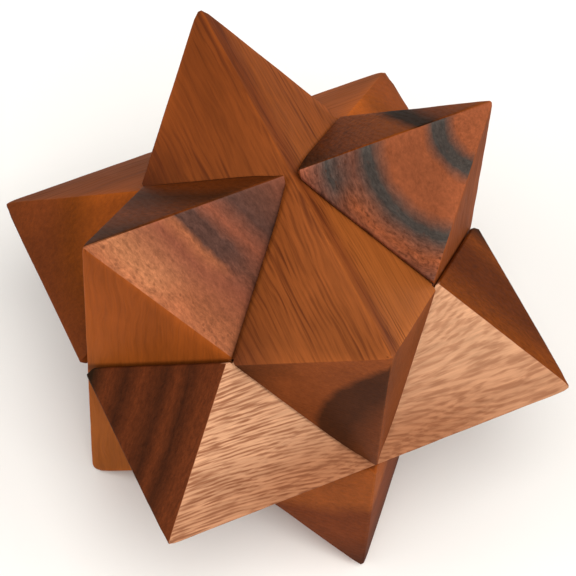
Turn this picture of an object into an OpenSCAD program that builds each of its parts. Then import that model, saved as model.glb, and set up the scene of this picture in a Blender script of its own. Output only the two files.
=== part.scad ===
// Star puzzle: six identical notched sticks that interlock around one centre.
// The origin is under the middle of the star, at the height that it stands on, and +Z is up.

/* [Stock] */
// Side of the square stock that every stick is sawn from, in mm
stock_w = 25; // [18:0.5:40]
// Radius of the sanded ridge, the one long edge that shows
ridge_r = 1; // [0.3:0.1:2]
// Depth planed off the hidden inner corner of each stick
inner_relief = 1.3; // [0.5:0.1:2.5]

/* [Wedge ends] */
// How far a sharp wedge end would reach past the ridge that it crosses
end_overhang = 0.95; // [0.4:0.05:2]
// Radius of the blunted edge of a wedge end
tip_r = 0.5; // [0.3:0.1:1.5]
// Depth sanded off the blunted edge, which leaves the narrow flat that the star stands on
tip_flat_depth = 0.1; // [0.04:0.02:0.2]

/* [Fit] */
// Gap between a notch face and the long face that lies against it
fit_gap = 0.12; // [0.05:0.01:0.3]

/* [Smoothness] */
// Facets on a full circle of a rounding
round_facets = 48; // [24:8:96]

/* [Hidden] */
// Half the diagonal of the square stock: a stick's centreline is this far from the star's centre.
half_diag = stock_w / sqrt(2);
// Half the length of a stick if its wedge ends were sharp.
sharp_reach = 2 * half_diag + end_overhang;
// Half the finished length, after the ends are blunted and sanded flat.
reach = sharp_reach - (sqrt(2) - 1) * tip_r - tip_flat_depth;
// Side of the square hole that a notch is a corner of.
notch_w = stock_w + 2 * fit_gap;
// Centre of the ridge's rounding, above the star's centre, and how far out it meets the flat faces.
ridge_centre = 2 * half_diag - sqrt(2) * ridge_r;
ridge_touch = ridge_r / sqrt(2);
// The corner-to-corner line about which X, Y and Z turn into each other.
diagonal = [1, 1, 1];
$fn = round_facets;

// A square with rounded corners, centred.
module rounded_square(side, r) {
    square([side, side - 2 * r], center = true);
    square([side - 2 * r, side], center = true);
    for (x = [-1, 1], y = [-1, 1])
        translate([x, y] * (side / 2 - r))
            circle(r);
}

// End view of the stock: a square on its corner, with that inner corner planed off and the ridge rounded.
module stock_section() {
    polygon([
        [inner_relief, inner_relief],
        [half_diag, half_diag],
        [ridge_touch, ridge_centre + ridge_touch],
        [-ridge_touch, ridge_centre + ridge_touch],
        [-half_diag, half_diag],
        [-inner_relief, inner_relief],
    ]);
    translate([0, ridge_centre])
        circle(ridge_r);
}

// Top view of a stick, with both ends brought to a blunted right-angled wedge.
module wedge_outline() {
    intersection() {
        rotate(45)
            rounded_square(sqrt(2) * sharp_reach, tip_r);
        square([2 * reach, 2 * sharp_reach], center = true);
    }
}

// The V that one crossing stick lies in: the corner of that stick's stock, grown by the fit gap.
module notch(side) {
    translate([side * half_diag, 0, 0])
        rotate([0, 45, 0])
            cube([notch_w, 3 * stock_w, notch_w], center = true);
}

// One stick along X, above the star's centre at the local origin.
module stick() {
    difference() {
        intersection() {
            rotate([90, 0, 90])
                linear_extrude(height = 3 * stock_w, center = true)
                    stock_section();
            linear_extrude(height = 3 * stock_w)
                wedge_outline();
        }
        notch(-1);
        notch(1);
    }
}

// Puts a stick in the star: turn 0 runs along X, turn 1 along Y and turn 2 along Z.
// flipped swaps the outward side, from top to bottom, right to left or back to front.
module placed_stick(turn, flipped) {
    translate([0, 0, reach])
        rotate(a = 120 * turn, v = diagonal)
            rotate([flipped ? 180 : 0, 0, 0])
                stick();
}

// Along X, with its ridge down.
module bottom_stick() {
    color("#8a4f2c")
        placed_stick(0, true);
}

// Upright, with its ridge towards -Y.
module front_stick() {
    color("#a3603a")
        placed_stick(2, true);
}

// Along Y, with its ridge towards +X.
module right_stick() {
    color("#c89468")
        placed_stick(1, false);
}

// Along Y, with its ridge towards -X.
module left_stick() {
    color("#6e2f1c")
        placed_stick(1, true);
}

// Upright, with its ridge towards +Y.
module back_stick() {
    color("#a85a3c")
        placed_stick(2, false);
}

// Along X, with its ridge up.
module top_stick() {
    color("#b0683a")
        placed_stick(0, false);
}

bottom_stick();
front_stick();
right_stick();
left_stick();
back_stick();
top_stick();
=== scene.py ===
"""Looks of the star puzzle: six oiled rain-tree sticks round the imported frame, on a pale floor in soft light.

Every length is in millimetres until it is put in a mesh, a light or the camera; MM turns it into metres.
A stick is made in its own axes, x along it and z outward from the star's centre, and then turned into place.
"""

import math

import bmesh
import bpy
import numpy as np
from mathutils import Matrix, Vector


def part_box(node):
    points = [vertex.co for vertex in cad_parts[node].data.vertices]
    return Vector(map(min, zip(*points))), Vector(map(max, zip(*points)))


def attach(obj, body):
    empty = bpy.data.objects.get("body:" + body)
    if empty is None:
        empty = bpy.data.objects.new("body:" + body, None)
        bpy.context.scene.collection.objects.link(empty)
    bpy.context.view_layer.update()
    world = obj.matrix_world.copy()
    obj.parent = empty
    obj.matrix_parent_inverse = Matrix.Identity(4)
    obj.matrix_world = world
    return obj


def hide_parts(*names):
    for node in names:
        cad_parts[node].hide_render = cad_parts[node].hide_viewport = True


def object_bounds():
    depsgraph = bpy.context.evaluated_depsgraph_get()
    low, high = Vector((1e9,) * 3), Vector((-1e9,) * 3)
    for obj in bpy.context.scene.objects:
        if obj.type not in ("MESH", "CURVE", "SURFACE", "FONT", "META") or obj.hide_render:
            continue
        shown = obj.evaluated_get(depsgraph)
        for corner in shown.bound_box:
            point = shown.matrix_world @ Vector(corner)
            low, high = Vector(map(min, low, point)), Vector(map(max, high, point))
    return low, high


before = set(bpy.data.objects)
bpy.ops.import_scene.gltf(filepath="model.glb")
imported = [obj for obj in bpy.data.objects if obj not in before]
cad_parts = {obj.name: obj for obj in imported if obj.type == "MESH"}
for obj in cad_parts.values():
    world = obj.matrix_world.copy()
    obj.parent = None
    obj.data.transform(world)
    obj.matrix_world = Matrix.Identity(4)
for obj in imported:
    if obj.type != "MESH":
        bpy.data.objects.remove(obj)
cad_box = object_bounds()

MM = 0.001

# ---------------------------------------------------------------- sizes, all from the frame

TOP_LOW, TOP_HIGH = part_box("top_stick")
CENTRE = (cad_box[0] + cad_box[1]) / 2
REACH = TOP_HIGH.x / MM
HALF_DIAG = TOP_HIGH.y / MM
INNER = (TOP_LOW.z - CENTRE.z) / MM
STOCK = HALF_DIAG * math.sqrt(2)
RIDGE = 2 * HALF_DIAG
SHARP_REACH = max(abs(v.co.x) + abs(v.co.y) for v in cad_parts["top_stick"].data.vertices) / MM
NOTCH_GAP = 0.12
SKIN = 0.02

# How each stick lies: the row axes that its own x, y and z turn into.
X, Y, Z = Vector((1, 0, 0)), Vector((0, 1, 0)), Vector((0, 0, 1))
PLACES = {
    "top_stick": (X, Y, Z),
    "bottom_stick": (X, -Y, -Z),
    "right_stick": (Y, Z, X),
    "left_stick": (Y, -Z, -X),
    "back_stick": (Z, X, Y),
    "front_stick": (Z, -X, -Y),
}


def turn(name):
    """The rotation that lays a stick in the star."""
    return Matrix(PLACES[name]).transposed()


# ---------------------------------------------------------------- camera

CAMERA_DISTANCE = 450
CAMERA_AZIMUTH = 61.8
CAMERA_ELEVATION = 58.0
CAMERA_ROLL = 4.2
CAMERA_LENS = 168.7
AIM_OFFSET = Vector((-0.5, 1.1, 0.6))


def direction(azimuth, elevation):
    """Unit vector from the object towards a viewer; azimuth 0 stands at -Y and 90 at +X."""
    a, e = math.radians(azimuth), math.radians(elevation)
    return Vector((math.sin(a) * math.cos(e), -math.cos(a) * math.cos(e), math.sin(e)))


def make_camera():
    """The camera at the photo's viewing angle."""
    data = bpy.data.cameras.new("camera")
    data.lens = CAMERA_LENS
    data.sensor_width = 36
    camera = bpy.data.objects.new("camera", data)
    bpy.context.scene.collection.objects.link(camera)
    aim = CENTRE + AIM_OFFSET * MM
    back = direction(CAMERA_AZIMUTH, CAMERA_ELEVATION)
    facing = back.to_track_quat("Z", "Y").to_matrix().to_4x4()
    roll = Matrix.Rotation(math.radians(CAMERA_ROLL), 4, "Z")
    camera.matrix_world = Matrix.Translation(aim + back * CAMERA_DISTANCE * MM) @ facing @ roll
    bpy.context.scene.camera = camera


# ---------------------------------------------------------------- light and floor


def area_light(name, azimuth, elevation, distance, size, watts, colour):
    data = bpy.data.lights.new(name, "AREA")
    data.shape = "DISK"
    data.size = size
    data.energy = watts
    data.color = colour
    lamp = bpy.data.objects.new(name, data)
    bpy.context.scene.collection.objects.link(lamp)
    back = direction(azimuth, elevation)
    facing = back.to_track_quat("Z", "Y").to_matrix().to_4x4()
    lamp.matrix_world = Matrix.Translation(CENTRE + back * distance) @ facing


def make_lights():
    """Soft studio light: a large key, two fills and a pale sky."""
    area_light("key", 80, 68, 1.2, 0.8, 9.5, (1.0, 0.97, 0.93))
    area_light("back_fill", 142, 40, 1.2, 0.9, 4.3, (1.0, 0.97, 0.93))
    area_light("front_fill", -10, 38, 1.2, 0.9, 4.0, (1.0, 0.98, 0.96))
    world = bpy.data.worlds.new("studio")
    bpy.context.scene.world = world
    world.use_nodes = True
    sky = world.node_tree.nodes["Background"]
    sky.inputs["Color"].default_value = (1.0, 0.99, 0.97, 1)
    sky.inputs["Strength"].default_value = 0.52


def make_floor():
    """A plain pale floor under the star."""
    bm = bmesh.new()
    bmesh.ops.create_grid(bm, x_segments=1, y_segments=1, size=3)
    data = bpy.data.meshes.new("floor")
    bm.to_mesh(data)
    bm.free()
    floor = bpy.data.objects.new("floor", data)
    floor.location.z = cad_box[0].z
    bpy.context.scene.collection.objects.link(floor)
    paint = bpy.data.materials.new("floor_paint")
    paint.use_nodes = True
    shader = paint.node_tree.nodes["Principled BSDF"]
    shader.inputs["Base Color"].default_value = (0.86, 0.85, 0.83, 1)
    shader.inputs["Roughness"].default_value = 0.9
    data.materials.append(paint)


# ---------------------------------------------------------------- stick shape

RIDGE_BEVEL = 0.6
TIP_BEVEL = 0.26
HIP_BEVEL = 0.28
RIM_BEVEL = 0.3
BEVEL_STEPS = 4
SLICE = 4.0
TIP_SOFT = 0.4
WAVE_DEPTH = 0.05
RIDGE_WAVE = 0.08
POINT_FROM = 29.0
POINT_PINCH = 0.45

# How far the sharp corner of each tip is worn back: the end at -x, then the end at +x.
TIP_WEAR = {
    "top_stick": (1.0, 0.5),
    "bottom_stick": (0.8, 0.6),
    "right_stick": (0.6, 0.7),
    "left_stick": (0.7, 1.1),
    "back_stick": (0.9, 0.4),
    "front_stick": (1.1, 0.5),
}

# The sticks whose inner points are cut narrow.
PINCHED = ("top_stick", "bottom_stick", "front_stick", "back_stick")

ROOT_HALF = math.sqrt(0.5)
LONG_PLANES = [(Vector((0, s, 1)) * ROOT_HALF, RIDGE * ROOT_HALF) for s in (-1, 1)]
WEDGE_PLANES = [(Vector((s, t, 0)) * ROOT_HALF, SHARP_REACH * ROOT_HALF) for s in (-1, 1) for t in (-1, 1)]
UNDER_PLANES = [(Vector((0, s, -1)) * ROOT_HALF, 0.0) for s in (-1, 1)]
FLAT_PLANES = [(Vector((0, 0, -1)), -INNER), (Vector((1, 0, 0)), REACH), (Vector((-1, 0, 0)), REACH)]


def cut(bm, normal, offset, keep_both=False):
    """Cuts the solid at normal . p = offset, and closes it again unless both sides stay."""
    everything = bm.verts[:] + bm.edges[:] + bm.faces[:]
    made = bmesh.ops.bisect_plane(
        bm, geom=everything, plane_co=normal * offset, plane_no=normal, clear_outer=not keep_both, dist=1e-6
    )
    if not keep_both:
        rim = [g for g in made["geom_cut"] if isinstance(g, bmesh.types.BMEdge)]
        bmesh.ops.contextual_create(bm, geom=rim)


def object_from(bm, name):
    data = bpy.data.meshes.new(name)
    bm.to_mesh(data)
    bm.free()
    obj = bpy.data.objects.new(name, data)
    bpy.context.scene.collection.objects.link(obj)
    return obj


def finished_mesh(obj):
    """The object's mesh with its modifiers applied; the object itself goes."""
    graph = bpy.context.evaluated_depsgraph_get()
    data = bpy.data.meshes.new_from_object(obj.evaluated_get(graph))
    bpy.data.objects.remove(obj)
    return data


def sharp_stick():
    """One stick with sharp edges: stock, wedge ends, planed inner corner and the two notches."""
    bm = bmesh.new()
    bmesh.ops.create_cube(bm, size=4 * RIDGE)
    for normal, offset in LONG_PLANES + WEDGE_PLANES + UNDER_PLANES + FLAT_PLANES:
        cut(bm, normal, offset - SKIN)
    stick = object_from(bm, "blank")
    bm = bmesh.new()
    for side in (-1, 1):
        place = Matrix.Translation((side * HALF_DIAG, 0, 0)) @ Matrix.Rotation(math.pi / 4, 4, "Y")
        width = STOCK + 2 * (NOTCH_GAP + SKIN)
        bmesh.ops.create_cube(bm, size=1, matrix=place @ Matrix.Diagonal((width, 4 * STOCK, width, 1)))
    tool = object_from(bm, "notch_tool")
    notch = stick.modifiers.new("notches", "BOOLEAN")
    notch.operation = "DIFFERENCE"
    notch.solver = "EXACT"
    notch.object = tool
    data = finished_mesh(stick)
    bpy.data.objects.remove(tool)
    return data


def is_outer(normal):
    """Whether a face with this normal is a long face or an end cut, which the closed star shows."""
    return normal.z > 0.1 or (abs(normal.x) > 0.5 and abs(normal.z) < 0.1)


def bevel_width(edge):
    """How wide an edge of the sharp stick is rounded, from where it lies."""
    middle = (edge.verts[0].co + edge.verts[1].co) / 2
    if abs(middle.y) < 1e-3 and middle.z > RIDGE - 0.5:
        return RIDGE_BEVEL
    if not all(is_outer(face.normal) for face in edge.link_faces):
        return RIM_BEVEL
    return TIP_BEVEL if abs(middle.x) > REACH - 0.5 else HIP_BEVEL


def waves(p, phase):
    """A smooth uneven field between about -1 and 1, with swells 8 to 25 mm long."""
    total = np.zeros(len(p))
    for i, length in enumerate((25.0, 17.0, 11.0, 8.0)):
        a = phase * 1.7 + i * 2.4
        along = np.array([math.cos(a), math.sin(a) * 0.8, math.cos(a * 1.3 + 1) * 0.8])
        total += np.sin(p @ along * (2 * math.pi / length) + phase * (3.1 + i)) / 4
    return total


def plane_depths(p, planes):
    """How far each point is outside each plane, one column a plane."""
    normals = np.array([n[:] for n, _ in planes])
    return p @ normals.T - np.array([c for _, c in planes])


def worn(p, normals, phase, tip_wear, pinch):
    """The points after uneven hand sanding, which takes more off the edges and most off the two tips."""
    depths = np.sort(plane_depths(p, LONG_PLANES + WEDGE_PLANES), axis=1)
    near_edge = np.exp(depths[:, -2] / 1.5)
    swell = waves(p, phase)
    take = WAVE_DEPTH * (1 + swell) / 2 + RIDGE_WAVE * near_edge * (1 + waves(p * 1.6, phase + 5)) / 2
    p = p - normals * take[:, None]
    to_point = np.clip((np.abs(p[:, 0]) - POINT_FROM) / 5, 0, 1) * np.exp((INNER - p[:, 2]) / 1.3)
    p[:, 1] *= 1 - pinch * to_point
    for side, wear in zip((-1, 1), tip_wear):
        n = np.array([side, 0, 1]) * ROOT_HALF
        tip = np.array([side * SHARP_REACH, 0, RIDGE])
        past = (p - tip) @ n + wear
        softened = -TIP_SOFT * np.log1p(np.exp(-past / TIP_SOFT))
        near = past > -6 * TIP_SOFT
        p = p + np.where(near, softened - past, 0)[:, None] * n
    return p


def set_attribute(data, name, values):
    """Stores one number a vertex, which the wood reads by name."""
    data.attributes.new(name, "FLOAT", "POINT").data.foreach_set("value", values.astype(np.float32))


def end_rim(p):
    """1 on the rounded rims of the end cuts, away from the long faces, and 0 elsewhere."""
    to_wedge = plane_depths(p, WEDGE_PLANES).max(axis=1)
    to_long = plane_depths(p, LONG_PLANES).max(axis=1)
    return np.clip((to_wedge + 0.6) / 0.2, 0, 1) * np.clip(-to_long / 0.6 - 0.5, 0, 1)


def dark_side(p, normals, ends):
    """1 on the end cuts that face the given signs of x and y, and 0 elsewhere: where the wood takes the darker
    dark_end tones, partly darker end grain and partly painted shade.
    """
    dark = np.zeros(len(p))
    for x_sign, y_sign in ends:
        across = np.clip((normals[:, 0] * x_sign - 0.3) / 0.3, 0, 1)
        sideways = np.clip(normals[:, 1] * y_sign / 0.4, 0, 1)
        rim = end_rim(p) * (p[:, 0] * x_sign > 0) * (p[:, 1] * y_sign > 0)
        dark = np.maximum(dark, np.maximum(across * sideways, rim))
    return dark


def stick_mesh(name, phase, dark_ends):
    """A stick's finished mesh in place in the star, with the attributes that its wood reads."""
    bm = bmesh.new()
    bm.from_mesh(sharp_stick())
    bmesh.ops.remove_doubles(bm, verts=bm.verts, dist=1e-4)
    bmesh.ops.dissolve_limit(bm, angle_limit=0.01, verts=bm.verts, edges=bm.edges)
    for i in range(-8, 9):
        cut(bm, X, i * SLICE, keep_both=True)
    bm.normal_update()
    weight = bm.edges.layers.float.new("bevel_weight_edge")
    for edge in bm.edges:
        if len(edge.link_faces) == 2 and edge.calc_face_angle() > 0.05:
            edge[weight] = bevel_width(edge) / RIDGE_BEVEL
    blank = object_from(bm, name + "_blank")
    bevel = blank.modifiers.new("rounding", "BEVEL")
    bevel.limit_method = "WEIGHT"
    bevel.width = RIDGE_BEVEL
    bevel.segments = BEVEL_STEPS
    bevel.use_clamp_overlap = True
    fine = blank.modifiers.new("fine", "SUBSURF")
    fine.subdivision_type = "SIMPLE"
    fine.levels = 2
    data = finished_mesh(blank)
    count = len(data.vertices)
    p = np.empty(count * 3)
    data.vertices.foreach_get("co", p)
    n = np.empty(count * 3)
    data.vertices.foreach_get("normal", n)
    p, n = p.reshape(-1, 3), n.reshape(-1, 3)
    depths = np.sort(plane_depths(p, LONG_PLANES + WEDGE_PLANES), axis=1)
    set_attribute(data, "end_cut", np.maximum(np.clip((np.abs(n[:, 0]) - 0.2) / 0.3, 0, 1), end_rim(p)))
    # Paler edges: partly real wear, partly a painted highlight along the rounded edges.
    set_attribute(data, "wear", np.exp(depths[:, -2] / 0.5))
    # The end cuts painted darker: partly darker end grain, partly painted shade.
    set_attribute(data, "dark_side", dark_side(p, n, dark_ends))
    p = worn(p, n, phase, TIP_WEAR[name], POINT_PINCH if name in PINCHED else 0.0)
    place = np.array(turn(name))
    data.vertices.foreach_set("co", (p @ place.T * MM + np.array(CENTRE)).ravel())
    data.shade_smooth()
    data.update()
    return data


# ---------------------------------------------------------------- wood

# The fibres slant most at mid-length; the slant fades over this many mm (times pi / 2) towards each end.
SWING = 20.0
# Width in mm of the darker line painted along a seam: partly dust and finish, partly painted shade of the gap.
SEAM_WIDTH = 1.3
# A stick's colour drifts from -DRIFT_SPAN to DRIFT_SPAN along x, and its figure gains or loses strength here.
DRIFT_SPAN = 26.0
STRENGTH_SPAN = (-24.0, 10.0)
# The ridge's own tint sets in between these heights.
RIDGE_SPAN = (26.0, 34.0)
FIBRE_SHADE = 0.45
STREAK_COLOUR = (72, 30, 12)
DOT_COLOUR = (70, 36, 22)


def linear(colour):
    """An sRGB colour, 0 to 255, as the linear RGBA that shaders take."""
    return [((c / 255 + 0.055) / 1.055) ** 2.4 for c in colour] + [1]


class Graph:
    """Short ways to add shader nodes; every call gives back a socket."""

    def __init__(self, material):
        material.use_nodes = True
        self.tree = material.node_tree
        self.shader = self.tree.nodes["Principled BSDF"]

    def add(self, kind, settings=None, **inputs):
        node = self.tree.nodes.new(kind)
        for key, value in (settings or {}).items():
            setattr(node, key, value)
        for key, value in inputs.items():
            self.put(node.inputs[key.replace("_", " ")], value)
        return node

    def put(self, socket, value):
        if isinstance(value, bpy.types.NodeSocket):
            self.tree.links.new(value, socket)
        else:
            socket.default_value = value

    def math(self, operation, *values, clamp=False):
        node = self.add("ShaderNodeMath", {"operation": operation, "use_clamp": clamp})
        for socket, value in zip(node.inputs, values):
            self.put(socket, value)
        return node.outputs[0]

    def attribute(self, name):
        return self.add("ShaderNodeAttribute", {"attribute_name": name}).outputs["Fac"]

    def scaled(self, vector, scale, offset=(0, 0, 0)):
        return self.add("ShaderNodeMapping", None, Vector=vector, Scale=scale, Location=offset).outputs[0]

    def noise(self, vector, detail=2.0, roughness=0.5):
        settings = {"Scale": 1.0, "Detail": detail, "Roughness": roughness}
        return self.add("ShaderNodeTexNoise", None, Vector=vector, **settings).outputs["Fac"]

    def spread(self, value, low, high, out_low=0.0, out_high=1.0):
        node = self.add("ShaderNodeMapRange", {"interpolation_type": "SMOOTHSTEP"})
        for socket, number in zip(node.inputs, (value, low, high, out_low, out_high)):
            self.put(socket, number)
        return node.outputs[0]

    def ramp(self, value, stops):
        """A colour ramp over stops of (value, linear RGBA), in any range of values."""
        low, high = stops[0][0], stops[-1][0]
        share = self.math("DIVIDE", self.math("SUBTRACT", value, low), max(high - low, 1e-6))
        node = self.add("ShaderNodeValToRGB", None, Fac=share)
        elements = node.color_ramp.elements
        while len(elements) < len(stops):
            elements.new(0.5)
        for element, (position, colour) in zip(elements, stops):
            element.position = (position - low) / max(high - low, 1e-6)
            element.color = colour
        return node.outputs["Color"]

    def bands(self, value, stops):
        """A colour ramp over stops of (distance in mm, name of a tone)."""
        return self.ramp(value, [(position, linear(TONES[tone])) for position, tone in stops])

    def levels(self, value, stops):
        return self.ramp(value, [(position, (level, level, level, 1)) for position, level in stops])

    def shaded(self, colour, factor):
        node = self.add("ShaderNodeVectorMath", {"operation": "SCALE"})
        self.put(node.inputs[0], colour)
        self.put(node.inputs["Scale"], factor)
        return node.outputs[0]

    def mix(self, factor, a, b, blend="MIX"):
        node = self.add("ShaderNodeMix", {"data_type": "RGBA", "blend_type": blend})
        for socket, value in zip((node.inputs[0], node.inputs[6], node.inputs[7]), (factor, a, b)):
            self.put(socket, value)
        return node.outputs[2]


def local_position(g, name):
    """The point that is shaded, in the stick's own millimetres."""
    place = g.add("ShaderNodeMapping", {"vector_type": "TEXTURE"})
    place.inputs["Location"].default_value = CENTRE
    place.inputs["Rotation"].default_value = turn(name).to_euler()
    place.inputs["Scale"].default_value = (MM, MM, MM)
    g.put(place.inputs["Vector"], g.add("ShaderNodeTexCoord").outputs["Object"])
    return place.outputs[0]


def growth_depth(g, p, spec):
    """Distance in mm from the growth centre, made uneven; a growth band is a shell of equal distance."""
    seed = spec["seed"]
    bend = g.noise(g.scaled(p, (0.018, 0.07, 0.07), (seed, 0, 0)), 2.0)
    ripple = g.noise(g.scaled(p, (0.05, 0.45, 0.45), (0, seed, 0)), 3.0, 0.6)
    parts = g.add("ShaderNodeSeparateXYZ", None, Vector=p)
    y0, z0 = spec["centre"]
    across = g.math("MULTIPLY", g.math("SUBTRACT", parts.outputs["Y"], y0), spec["squash"])
    out = g.math("SUBTRACT", parts.outputs["Z"], z0)
    radius = g.math("SQRT", g.math("ADD", g.math("MULTIPLY", across, across), g.math("MULTIPLY", out, out)))
    wobble = g.math("MULTIPLY", g.math("SUBTRACT", bend, 0.5), spec["bend"])
    jitter = g.math("MULTIPLY", g.math("SUBTRACT", ripple, 0.5), spec["ripple"])
    return g.math("ADD", radius, g.math("ADD", wobble, jitter))


def band_position(g, p, spec, depth):
    """The point measured along the stick, across the growth bands and along them."""
    parts = g.add("ShaderNodeSeparateXYZ", None, Vector=p)
    y0, z0 = spec["centre"]
    across = g.math("SUBTRACT", parts.outputs["Y"], y0)
    out = g.math("SUBTRACT", parts.outputs["Z"], z0)
    round_it = g.math("MULTIPLY", g.math("ARCTAN2", across, out), spec["arc"])
    return g.add("ShaderNodeCombineXYZ", None, X=parts.outputs["X"], Y=depth, Z=round_it).outputs[0]


def fibre_position(g, p, spec):
    """The point moved sideways a little, so that the fibres slant towards the ridge, fan out and wave."""
    seed = spec["seed"]
    parts = g.add("ShaderNodeSeparateXYZ", None, Vector=p)
    outward = g.math("SUBTRACT", g.math("DIVIDE", parts.outputs["Z"], HALF_DIAG), spec["level"])
    swing = g.math("MULTIPLY", g.math("SINE", g.math("DIVIDE", parts.outputs["X"], SWING)), SWING)
    slant = g.math("MULTIPLY", g.math("MULTIPLY", swing, outward), -spec["slant"])
    fan = g.spread(parts.outputs["X"], 6.0, 30.0, 0.0, spec["fan"])
    fan = g.math("MULTIPLY", fan, g.spread(parts.outputs["Z"], 33.0, 23.0))
    slant = g.math("ADD", slant, fan)
    sway = g.noise(g.scaled(p, (0.09, 0.22, 0.22), (seed, 2, 2)), 1.0)
    sway = g.math("MULTIPLY", g.math("SUBTRACT", sway, 0.5), spec["sway"])
    move = g.add("ShaderNodeCombineXYZ", None, Y=sway, Z=g.math("ADD", slant, sway)).outputs[0]
    moved = g.add("ShaderNodeVectorMath", {"operation": "ADD"})
    g.put(moved.inputs[0], p)
    g.put(moved.inputs[1], move)
    return moved.outputs[0]


class Grain:
    """What the layers of one stick's wood share: the graph, the settings and where the shaded point lies."""

    def __init__(self, g, name, spec):
        self.g = g
        self.spec = spec
        self.seed = spec["seed"]
        self.p = local_position(g, name)
        parts = g.add("ShaderNodeSeparateXYZ", None, Vector=self.p)
        self.x = parts.outputs["X"]
        self.z = parts.outputs["Z"]
        self.x_off = g.math("ABSOLUTE", self.x)
        self.y_off = g.math("ABSOLUTE", parts.outputs["Y"])
        self.depth = growth_depth(g, self.p, spec)
        self.along = fibre_position(g, self.p, spec)
        self.end_cut = g.attribute("end_cut")
        self.side_cut = g.math("SUBTRACT", 1.0, self.end_cut)


def band_colour(w):
    """The growth bands on the long faces and the end cuts, with their drift along the stick."""
    g, spec = w.g, w.spec
    end_tone = g.bands(w.depth, spec["end"])
    if "end_far" in spec:
        far = g.spread(w.y_off, *spec["far_from"])
        end_tone = g.mix(far, end_tone, g.bands(w.depth, spec["end_far"]))
    # Painted shade, partly darker end grain: the end cuts marked dark_side take the dark_end tones.
    if "dark_end" in spec:
        dark_depth = w.depth
        if "dark_centre" in spec:
            dark_depth = growth_depth(g, w.p, dict(spec, centre=spec["dark_centre"], squash=1.0))
        end_tone = g.mix(g.attribute("dark_side"), end_tone, g.bands(dark_depth, spec["dark_end"]))
    colour = g.mix(w.end_cut, g.bands(w.depth, spec["face"]), end_tone)
    if "drift" not in spec:
        return colour
    low_tint, high_tint = spec["drift"]
    tint = g.mix(g.spread(w.x, -DRIFT_SPAN, DRIFT_SPAN), low_tint + (1,), high_tint + (1,))
    return g.mix(1.0, colour, tint, "MULTIPLY")


def grain_shade(w, fibre):
    """How much soft patches, growth lines and fibres lighten or darken the wood."""
    g, spec, seed = w.g, w.spec, w.seed
    patch = g.noise(g.scaled(w.p, (0.05, 0.13, 0.13), (seed, 0, seed)), 2.0)
    lines = g.noise(g.scaled(w.along, (0.03, 1.3, 1.3), (seed, seed, 0)), 3.0, 0.65)
    shade = 1.0
    for layer, amount in ((patch, spec["patches"]), (lines, spec["lines"]), (fibre, FIBRE_SHADE)):
        shade = g.math("MULTIPLY_ADD", g.math("SUBTRACT", layer, 0.5), amount, shade)
    return shade


def figure_strength(w):
    """How strongly streaks and pore lines show: only on long faces, with weaker places and stretches."""
    g, spec = w.g, w.spec
    here = g.noise(g.scaled(w.p, (0.04, 0.12, 0.12), (0, w.seed, 2 * w.seed)), 1.0)
    here = g.math("MULTIPLY", w.side_cut, g.spread(here, 0.38, 0.60, spec["thinned"], 1.0))
    return g.math("MULTIPLY", here, g.spread(w.x, *STRENGTH_SPAN, *spec["strength"]))


def streaked(w, colour, strength):
    """The colour with dark streaks along the long faces."""
    g = w.g
    streak = g.noise(g.scaled(w.along, (0.022, 1.1, 1.1), (2 * w.seed, 0, 0)), 2.0, 0.55)
    streak = g.spread(streak, 0.54, 0.70)
    streak = g.math("MULTIPLY", streak, g.math("MULTIPLY", strength, w.spec["streaks"]))
    return g.mix(streak, colour, linear(STREAK_COLOUR))


def pore_lines(w):
    """Open pores on a long face: lines that run with the fibres and break up into tapered dashes."""
    g, seed = w.g, w.seed
    gap, length, wander, evenness = w.spec["pore_lines"]
    drift = g.noise(g.scaled(w.along, (0.3 / length, 0.25 / gap, 0.25 / gap), (seed, 0, seed)), 2.0)
    parts = g.add("ShaderNodeSeparateXYZ", None, Vector=w.along)
    lines = g.math("MULTIPLY_ADD", drift, wander * gap, parts.outputs["Z"])
    lines = g.math("SINE", g.math("MULTIPLY", lines, 2 * math.pi * math.sqrt(2) / gap))
    broken = g.noise(g.scaled(w.along, (1 / length, 1.4 / gap, 1.4 / gap), (0, 3 * seed, 0)), 2.0, 0.6)
    return g.spread(g.math("MULTIPLY_ADD", lines, evenness, broken), *w.spec["pore_edge"])


def flecked(w, colour):
    """The colour with the specks and dots of end grain on the end cuts."""
    g, spec, seed = w.g, w.spec, w.seed
    speck = g.noise(g.scaled(band_position(g, w.p, spec, w.depth), (0.3, 2.1, 0.8), (seed, 0, 0)), 3.0, 0.75)
    speckled = g.math("MULTIPLY", w.end_cut, g.levels(w.depth, spec["specks"]))
    colour = g.shaded(colour, g.math("MULTIPLY_ADD", g.math("SUBTRACT", speck, 0.5), speckled, 1.0))
    cells = g.add("ShaderNodeTexVoronoi", None, Scale=1.0, Randomness=1.0)
    g.put(cells.inputs["Vector"], g.scaled(w.along, (0.12, 1.0, 1.0), (0, 0, 2 * seed)))
    dot = g.spread(cells.outputs["Distance"], 0.30, 0.10)
    dotted = g.math("MULTIPLY", w.end_cut, g.levels(w.depth, spec["dots"]))
    return g.mix(g.math("MULTIPLY", dot, dotted), colour, linear(DOT_COLOUR))


def seam_dust_and_shade(w, colour):
    """The colour with the seams beside the neighbouring sticks darkened: partly dust and finish, partly painted
    shade of the gap.
    """
    g = w.g
    to_end = g.math("ADD", g.math("SUBTRACT", w.z, RIDGE), w.x_off)
    to_side = g.math("SUBTRACT", w.z, w.y_off)
    seam = g.spread(g.math("MINIMUM", to_end, to_side), SEAM_WIDTH, 0.0)
    return g.shaded(colour, g.math("MULTIPLY_ADD", seam, -w.spec["seam"], 1.0))


def ridge_tinted(w, colour):
    """The colour with the long faces darkened near the ridge, most of all at mid-length."""
    g = w.g
    near = g.spread(w.z, *RIDGE_SPAN)
    middle = g.spread(w.x_off, 30.0, 10.0, 0.5, 1.0)
    near = g.math("MULTIPLY", g.math("MULTIPLY", near, middle), w.side_cut)
    return g.mix(near, colour, w.spec["ridge_tint"], "MULTIPLY")


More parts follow.
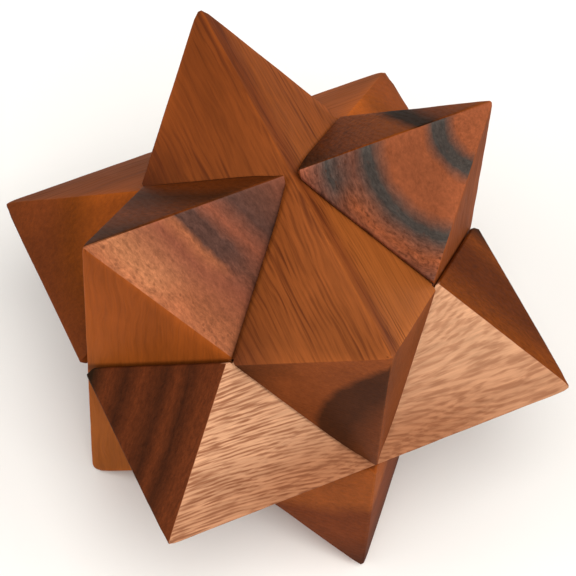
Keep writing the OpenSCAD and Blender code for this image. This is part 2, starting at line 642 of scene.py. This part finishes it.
def finish_surface(w, fibre, pores):
    """Gloss and relief: a thin oil finish over fibres that stand out a little and pores that sink."""
    g = w.g
    rough = g.math("MULTIPLY_ADD", fibre, 0.22, 0.60)
    g.put(g.shader.inputs["Roughness"], g.math("MULTIPLY_ADD", pores, 0.1, rough))
    g.shader.inputs["Specular IOR Level"].default_value = 0.02
    g.shader.inputs["Coat Weight"].default_value = w.spec["coat"]
    g.shader.inputs["Coat Roughness"].default_value = 0.35
    height = g.math("SUBTRACT", g.math("MULTIPLY", fibre, 0.5), g.math("MULTIPLY", pores, 0.8))
    bump = g.add("ShaderNodeBump", None, Strength=0.35, Distance=0.0001, Height=height)
    g.put(g.shader.inputs["Normal"], bump.outputs[0])


def wood(name, spec):
    """Solid wood for one stick, built up in layers from the growth bands to the edges painted paler, partly for
    wear and partly as a painted highlight.
    """
    material = bpy.data.materials.new(name + "_wood")
    g = Graph(material)
    w = Grain(g, name, spec)
    fibre = g.noise(g.scaled(w.along, (0.18, 3.2, 3.2), (0, 0, w.seed)), 2.0, 0.6)
    strength = figure_strength(w)
    pores = pore_lines(w)
    colour = g.shaded(band_colour(w), grain_shade(w, fibre))
    colour = streaked(w, colour, strength)
    pore_tone = g.math("MULTIPLY", pores, g.math("MULTIPLY", strength, spec["pores"]))
    colour = g.mix(pore_tone, colour, linear(spec["pore_colour"]))
    colour = flecked(w, colour)
    if "seam" in spec:
        colour = seam_dust_and_shade(w, colour)
    if "ridge_tint" in spec:
        colour = ridge_tinted(w, colour)
    # Edges painted paler by the wear attribute: partly real wear, partly painted highlight.
    colour = g.shaded(colour, g.math("MULTIPLY_ADD", g.attribute("wear"), spec["wear"], 1.0))
    g.put(g.shader.inputs["Base Color"], colour)
    finish_surface(w, fibre, pores)
    return material


# Tones of the wood, as sRGB. The oiled ones are the darker, redder look of end cuts with more finish; where
# they darken the end cuts marked dark_side, they also carry painted shade.
TONES = {
    # partly painted sheen: the pale look of the right stick's upper long face
    "cream": (200, 150, 115),
    "blush": (165, 105, 70),
    "rose": (145, 85, 55),
    "pink": (125, 70, 50),
    "mauve": (95, 58, 45),
    "plum": (78, 52, 44),
    "slate": (62, 56, 52),
    "honey": (145, 75, 30),
    "tan": (140, 68, 20),
    "amber": (125, 62, 25),
    "orange": (130, 70, 42),
    "brown": (110, 52, 22),
    "russet": (90, 42, 18),
    "umber": (80, 36, 15),
    "dark": (60, 28, 12),
    "oiled_tan": (115, 55, 12),
    "oiled_brown": (90, 40, 8),
    "oiled_umber": (60, 28, 7),
    "oiled_black": (35, 20, 8),
}

# The back stick's rings: an orange heart, then two dark bands with orange wood between them.
BACK_RINGS = [
    (0, "orange"), (6, "orange"), (8, "slate"), (10, "slate"), (12, "orange"), (18, "orange"),
    (21, "slate"), (22, "slate"),
]

# Settings of a stick's wood where WOODS doesn't give its own.
PLAIN_WOOD = {
    # growth bands: how flat the rings are, how much they bend and ripple, and mm per radian along them
    "squash": 1.0,
    "bend": 5.0,
    "ripple": 1.6,
    "arc": 20.0,
    # fibres: slant about a level (in half diagonals), fanning at the +x end, and sway in mm
    "slant": 0.0,
    "level": 1.0,
    "fan": 0.0,
    "sway": 2.0,
    # pore lines: spacing and length in mm, wander and evenness; then contrast, strength and colour
    "pore_lines": (1.6, 7.0, 1.2, 0.16),
    "pore_edge": (0.50, 0.68),
    "pores": 0.35,
    "pore_colour": (70, 30, 12),
    # how strong patches, growth lines and streaks are, and how far figure fades in places and along x
    "patches": 0.5,
    "lines": 0.6,
    "streaks": 0.4,
    "thinned": 0.35,
    "strength": (1.0, 1.0),
    # end grain by distance from the growth centre; the end cuts, by signs of x and y, painted darker: partly
    # darker end grain, partly painted shade
    "specks": [(0, 0.5), (99, 0.5)],
    "dots": [(0, 0.15), (99, 0.15)],
    "dark_ends": [],
    # finish, and how much paler the edges are painted: partly real wear, partly painted highlight on the
    # rounded edges
    "coat": 0.07,
    "wear": 0.3,
}

WOODS = {
    "top_stick": {
        "seed": 3.1,
        "centre": (39, 7),
        "arc": 45.0,
        "bend": 2.0,
        "ripple": 0.8,
        "face": [(30, "honey"), (42, "honey"), (46, "brown"), (48, "amber"), (53, "amber"), (57, "umber")],
        "end": [(40, "russet"), (43, "dark"), (46, "dark"), (47, "brown"), (51, "brown"), (57, "dark")],
        "dark_end": [(38, "brown"), (45, "russet"), (50, "amber"), (55, "brown")],
        "dark_ends": [(1, 1)],
        "drift": ((0.88, 0.84, 0.68), (1.16, 1.3, 1.38)),
        "slant": -0.1,
        "sway": 1.2,
        "streaks": 0.6,
        "pore_lines": (1.0, 9.0, 1.1, 0.11),
        "pore_edge": (0.47, 0.72),
        "pores": 0.45,
        "thinned": 0.3,
        "strength": (0.9, 1.0),
        "specks": [(0, 0.35), (99, 0.35)],
    },
    "front_stick": {
        "seed": 7.7,
        "centre": (42, -42),
        "arc": 70.0,
        "bend": 2.0,
        "ripple": 1.4,
        "face": [(55, "amber"), (80, "tan")],
        "end": [
            (60, "pink"), (64, "mauve"), (68, "plum"), (71, "pink"), (73, "plum"), (75, "plum"),
            (76, "rose"), (78, "pink"), (84, "blush"), (87, "rose"),
        ],
        "end_far": [
            (60, "pink"), (64, "mauve"), (68, "plum"), (71, "pink"), (74, "mauve"), (77, "pink"),
            (82, "rose"),
        ],
        "far_from": (5.5, 10),
        "drift": ((1.0, 1.22, 1.5), (1.0, 1.0, 1.0)),
        # how dark the seams are painted: partly dust and finish, partly painted shade of the gap
        "seam": 0.45,
        "lines": 0.35,
        "streaks": 0.1,
        "pores": 0.06,
        "specks": [(60, 1.0), (72, 1.5), (75, 2.0), (77, 1.0), (84, 1.8)],
        "dots": [(60, 0.1), (79, 0.1), (84, 0.4)],
        "dark_end": [(64, "oiled_brown"), (68, "oiled_umber"), (75, "oiled_brown"), (82, "oiled_umber")],
        "dark_ends": [(1, 1)],
    },
    "right_stick": {
        "seed": 1.3,
        "centre": (-90, -70),
        "arc": 130.0,
        "bend": 1.4,
        "ripple": 0.7,
        # The cream outer band is the upper long face's pale look: partly the wood's own tone, partly painted
        # sheen.
        "face": [
            (117, "brown"), (123, "russet"), (128, "brown"), (132, "russet"), (136, "amber"), (138, "cream"),
        ],
        "end": [
            (116, "oiled_umber"), (120, "oiled_tan"), (124, "oiled_brown"), (130, "oiled_brown"),
            (136, "oiled_tan"),
        ],
        "dark_end": [
            (116, "oiled_black"), (119, "russet"), (122, "dark"), (125, "russet"), (129, "dark"),
            (131, "russet"), (133, "dark"), (136, "russet"),
        ],
        "slant": 0.4,
        "level": 1.2,
        "fan": 4.0,
        "sway": 1.2,
        "patches": 0.3,
        "lines": 0.5,
        "streaks": 0.0,
        "pore_lines": (0.8, 5.0, 0.9, 0.08),
        "pore_edge": (0.36, 0.70),
        "pores": 0.92,
        "thinned": 0.85,
        "pore_colour": (132, 80, 53),
        "strength": (1.0, 0.62),
        "coat": 0.04,
        "ridge_tint": (0.6, 0.47, 0.4, 1),
        "specks": [(0, 1.3), (200, 1.3)],
        "dark_ends": [(-1, 1), (-1, -1)],
        "wear": 0.1,
    },
    "left_stick": {
        "seed": 9.2,
        "centre": (-30, 12),
        "face": [(20, "tan"), (40, "oiled_tan"), (60, "tan")],
        "end": [(20, "tan"), (25, "oiled_tan"), (30, "brown"), (60, "russet")],
        "drift": ((0.8, 0.8, 0.66), (1.3, 1.3, 0.8)),
        "streaks": 0.25,
        "pores": 0.2,
        "specks": [(0, 0.35), (99, 0.35)],
    },
    "back_stick": {
        "seed": 5.5,
        "centre": (2, 34),
        "squash": 1.6,
        "coat": 0.04,
        "bend": 2.2,
        "ripple": 1.4,
        "face": [(0, "amber"), (30, "amber")],
        "end": [*BACK_RINGS, (24, "mauve"), (28, "slate"), (32, "pink")],
        "end_far": [*BACK_RINGS, (26, "orange"), (29, "mauve"), (32, "pink")],
        "far_from": (2.5, 6.5),
        "dark_centre": (0, 84),
        "dark_end": [
            (50, "oiled_tan"), (57, "oiled_brown"), (60, "oiled_black"), (62, "oiled_black"),
            (64, "oiled_tan"), (74, "oiled_brown"), (80, "oiled_umber"),
        ],
        "specks": [(0, 0.5), (9, 1.5), (13, 0.5), (18, 0.5), (22, 1.8), (26, 2.4)],
        "dots": [(0, 0.1), (21, 0.1), (24, 0.5)],
        "streaks": 0.25,
        "pores": 0.2,
        "dark_ends": [(1, -1)],
    },
    "bottom_stick": {
        "seed": 6.4,
        "centre": (24, -10),
        "face": [(20, "amber"), (60, "honey")],
        "end": [(32, "honey"), (36, "brown"), (41, "brown"), (50, "umber")],
        "streaks": 0.3,
        "pores": 0.25,
        "specks": [(0, 0.35), (99, 0.35)],
        # negative: this stick's edges are painted a little darker instead
        "wear": -0.1,
    },
}


def make_sticks():
    """Makes the six wooden sticks, each riding on its own CAD stick and standing in for it."""
    for number, (name, own) in enumerate(WOODS.items()):
        spec = {**PLAIN_WOOD, **own}
        data = stick_mesh(name, 1.0 + number, spec["dark_ends"])
        data.name = name + "_wood"
        data.materials.append(wood(name, spec))
        piece = bpy.data.objects.new(name + "_wood", data)
        bpy.context.scene.collection.objects.link(piece)
        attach(piece, name)
        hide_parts(name)


bpy.context.scene.view_settings.view_transform = "Standard"
make_camera()
make_lights()
make_floor()
make_sticks()
